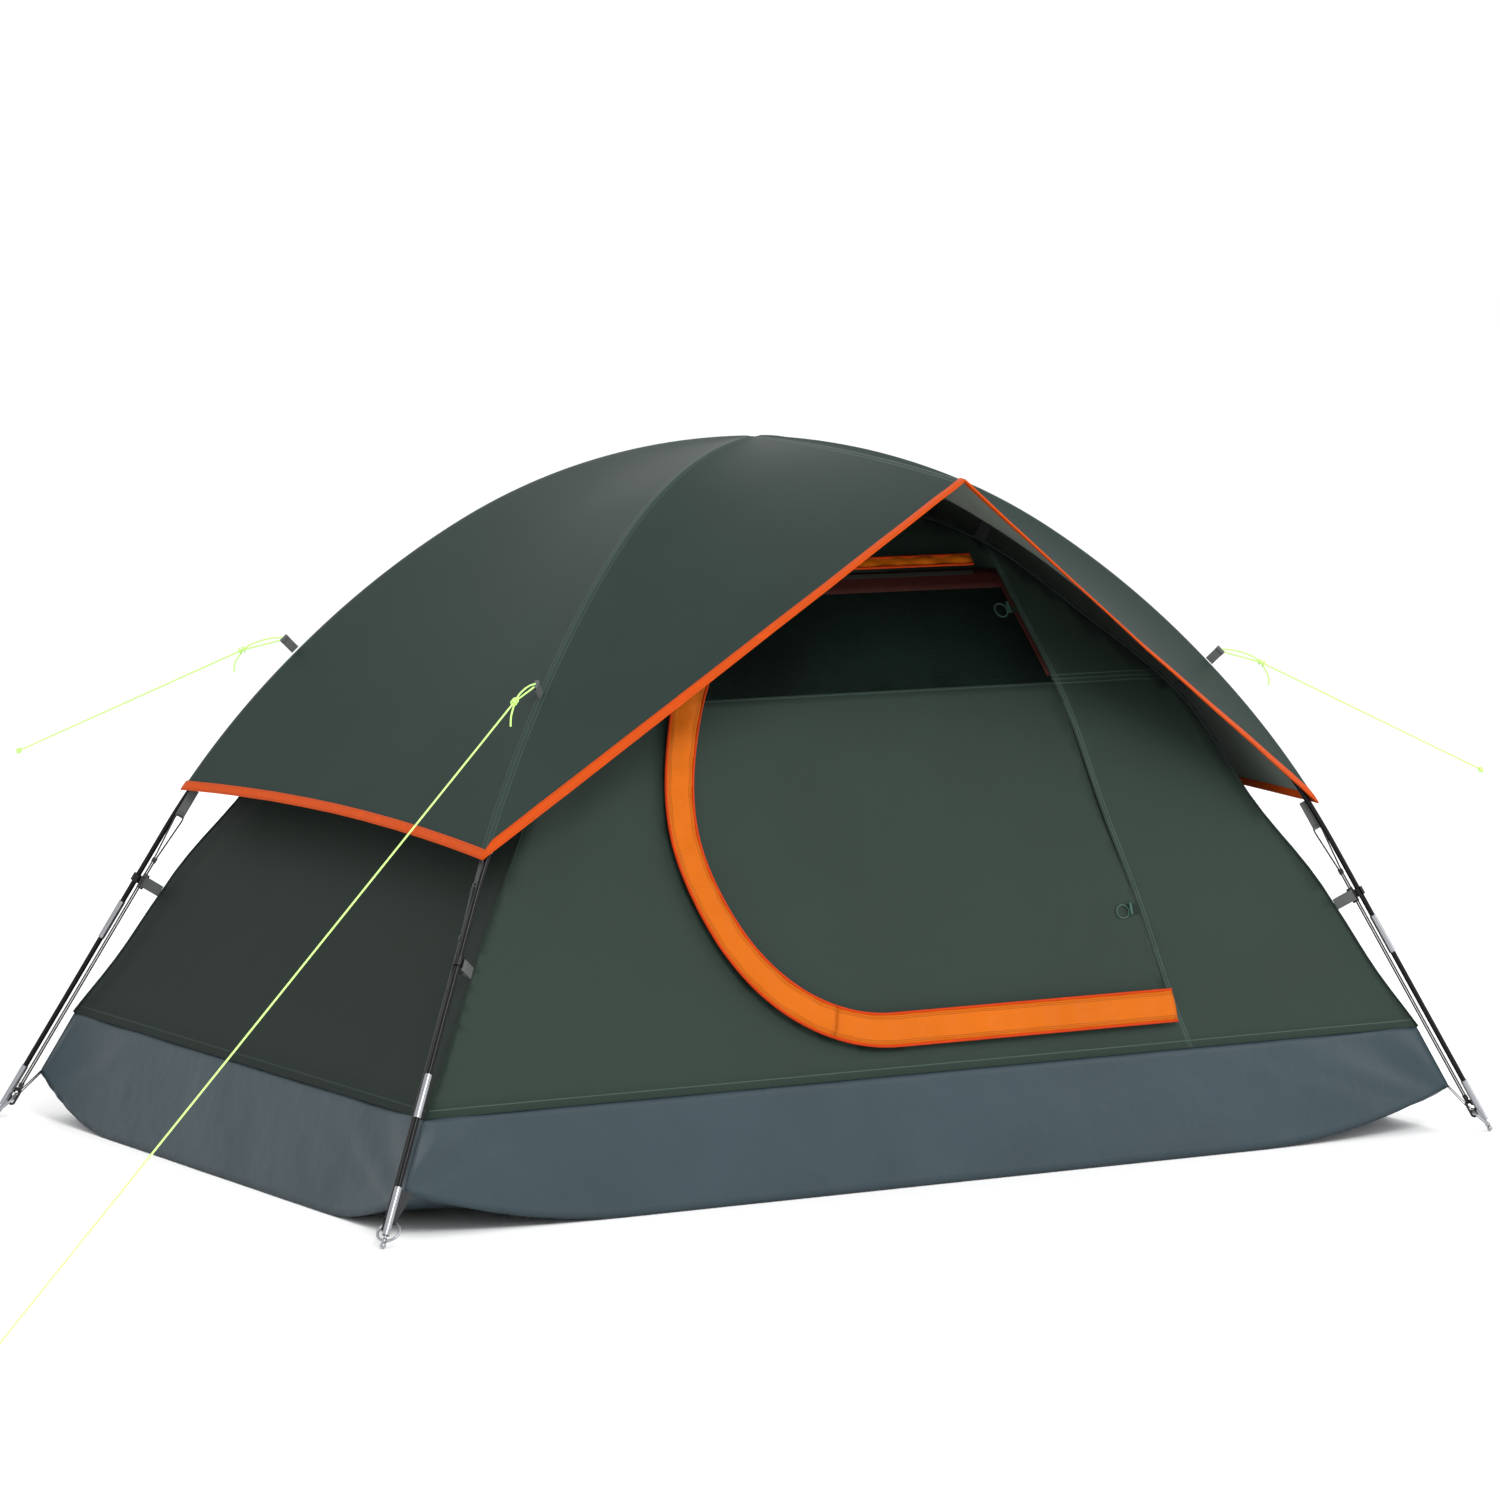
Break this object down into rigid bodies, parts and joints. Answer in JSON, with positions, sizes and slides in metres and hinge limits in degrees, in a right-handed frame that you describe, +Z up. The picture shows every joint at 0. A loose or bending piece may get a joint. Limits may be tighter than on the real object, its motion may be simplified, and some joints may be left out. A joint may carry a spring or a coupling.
{
  "type": "dome tent",
  "caption": "Free-standing dome tent on crossed bent poles, with a part-length fly, a brow over the door and a floor tub",
  "frame": {"origin": "on the ground, in the middle between the four pole feet", "axes": "+X along the long side, +Y to the back away from the door, +Z up"},
  "size_m": [3.3816, 2.1386, 1.2297],
  "materials": {
    "fibreglass_black": "satin",
    "steel_bright": "satin",
    "wire_steel": "polished",
    "elastic_black": "matt",
    "webbing_dark": "matt",
    "webbing_grey": "matt",
    "webbing_black": "matt",
    "plastic_black": "satin",
    "binding_orange": "satin",
    "fly_fabric": "coated, slight sheen",
    "guyline_green": "matt",
    "tub_fabric": "coated, slight sheen",
    "inner_fabric": "matt",
    "mesh_black": "open mesh",
    "flap_orange": "satin",
    "zip_coil": "matt",
    "zip_metal": "satin",
    "puller_dark": "matt",
    "toggle_green": "matt"
  },
  "bodies": {
    "tent": {"under_pole_rods": "fibreglass_black", "over_pole_rods": "fibreglass_black", "pole_ferrules": "steel_bright", "pole_shock_cords": "elastic_black", "pole_end_tubes": "steel_bright", "foot_pins": "wire_steel", "corner_webbing": "webbing_dark", "pole_straps": "webbing_black", "apex_tie": "webbing_black", "brow_rod": "fibreglass_black", "brow_rod_pockets": "fly_fabric", "fly_left_panel": "fly_fabric", "fly_right_panel": "fly_fabric", "fly_back_panel": "fly_fabric", "fly_front_left_panel": "fly_fabric", "fly_front_right_panel": "fly_fabric", "fly_hem": "binding_orange", "guy_tabs": "webbing_grey", "fly_corner_loops": "webbing_grey", "guyline_front_left": "guyline_green", "guyline_back_left": "guyline_green", "guyline_right": "guyline_green", "guyline_knots": "guyline_green", "elastic_front_left": "elastic_black", "elastic_front_right": "elastic_black", "elastic_back_left": "elastic_black", "elastic_back_right": "elastic_black", "hook_front_left": "plastic_black", "hook_front_right": "plastic_black", "hook_back_left": "plastic_black", "hook_back_right": "plastic_black", "floor_tub": "tub_fabric", "left_wall": "inner_fabric", "right_wall": "inner_fabric", "back_wall": "inner_fabric", "front_wall": "inner_fabric", "door_panel": "inner_fabric", "door_mesh": "mesh_black", "door_flap_run": "flap_orange", "zip_chain": "zip_coil", "toggle_loops": "toggle_green"},
    "ring_front_left": {"ring_front_left": "wire_steel"},
    "clip_front_left": {"clip_front_left": "plastic_black", "clip_tab_front_left": "webbing_grey"},
    "ring_front_right": {"ring_front_right": "wire_steel"},
    "clip_front_right": {"clip_front_right": "plastic_black", "clip_tab_front_right": "webbing_grey"},
    "ring_back_left": {"ring_back_left": "wire_steel"},
    "clip_back_left": {"clip_back_left": "plastic_black", "clip_tab_back_left": "webbing_grey"},
    "ring_back_right": {"ring_back_right": "wire_steel"},
    "clip_back_right": {"clip_back_right": "plastic_black", "clip_tab_back_right": "webbing_grey"},
    "toggle_upper": {"toggle_upper": "toggle_green"},
    "toggle_lower": {"toggle_lower": "toggle_green"},
    "door_edge": {"door_flap_side": "flap_orange"},
    "zip_slider": {"zip_slider": "zip_metal"},
    "zip_puller": {"zip_puller": "puller_dark"}
  },
  "joints": [
    {"name": "ring_front_left_spin", "type": "hinge", "parent": "tent", "child": "ring_front_left", "pos_m": [-1.12156, -0.68484, 0.02414], "axis": [-0.5486, -0.335, 0.766], "continuous": true},
    {"name": "clip_front_left_slide", "type": "slide", "parent": "tent", "child": "clip_front_left", "axis": [-0.4267, -0.2606, -0.866], "range_m": [-0.012, 0.012]},
    {"name": "ring_front_right_spin", "type": "hinge", "parent": "tent", "child": "ring_front_right", "pos_m": [1.12156, -0.68484, 0.02414], "axis": [0.5486, -0.335, 0.766], "continuous": true},
    {"name": "clip_front_right_slide", "type": "slide", "parent": "tent", "child": "clip_front_right", "axis": [0.4267, -0.2606, -0.866], "range_m": [-0.012, 0.012]},
    {"name": "ring_back_left_spin", "type": "hinge", "parent": "tent", "child": "ring_back_left", "pos_m": [-1.12156, 0.68484, 0.02414], "axis": [-0.5486, 0.335, 0.766], "continuous": true},
    {"name": "clip_back_left_slide", "type": "slide", "parent": "tent", "child": "clip_back_left", "axis": [-0.4267, 0.2606, -0.866], "range_m": [-0.012, 0.012]},
    {"name": "ring_back_right_spin", "type": "hinge", "parent": "tent", "child": "ring_back_right", "pos_m": [1.12156, 0.68484, 0.02414], "axis": [0.5486, 0.335, 0.766], "continuous": true},
    {"name": "clip_back_right_slide", "type": "slide", "parent": "tent", "child": "clip_back_right", "axis": [0.4267, 0.2606, -0.866], "range_m": [-0.012, 0.012]},
    {"name": "toggle_upper_turn", "type": "hinge", "parent": "tent", "child": "toggle_upper", "pos_m": [0.339, -0.29468, 0.935], "axis": [0, -0.8251, 0.565], "range_deg": [-90, 90]},
    {"name": "toggle_lower_turn", "type": "hinge", "parent": "tent", "child": "toggle_lower", "pos_m": [0.441, -0.53617, 0.425], "axis": [0, -0.9421, 0.3353], "range_deg": [-90, 90]},
    {"name": "door_gather", "type": "slide", "parent": "tent", "child": "door_edge", "axis": [1, 0, 0], "range_m": [0, 0.7], "deforming": ["door_panel", "door_mesh", "door_flap_run"]},
    {"name": "zip_slide", "type": "slide", "parent": "tent", "child": "zip_slider", "axis": [-1, 0, 0], "range_m": [0, 0.5]},
    {"name": "zip_puller_lift", "type": "hinge", "parent": "zip_slider", "child": "zip_puller", "pos_m": [0.4716, -0.60373, 0.25914], "axis": [-1, 0, 0], "range_deg": [0, 8]}
  ]
}
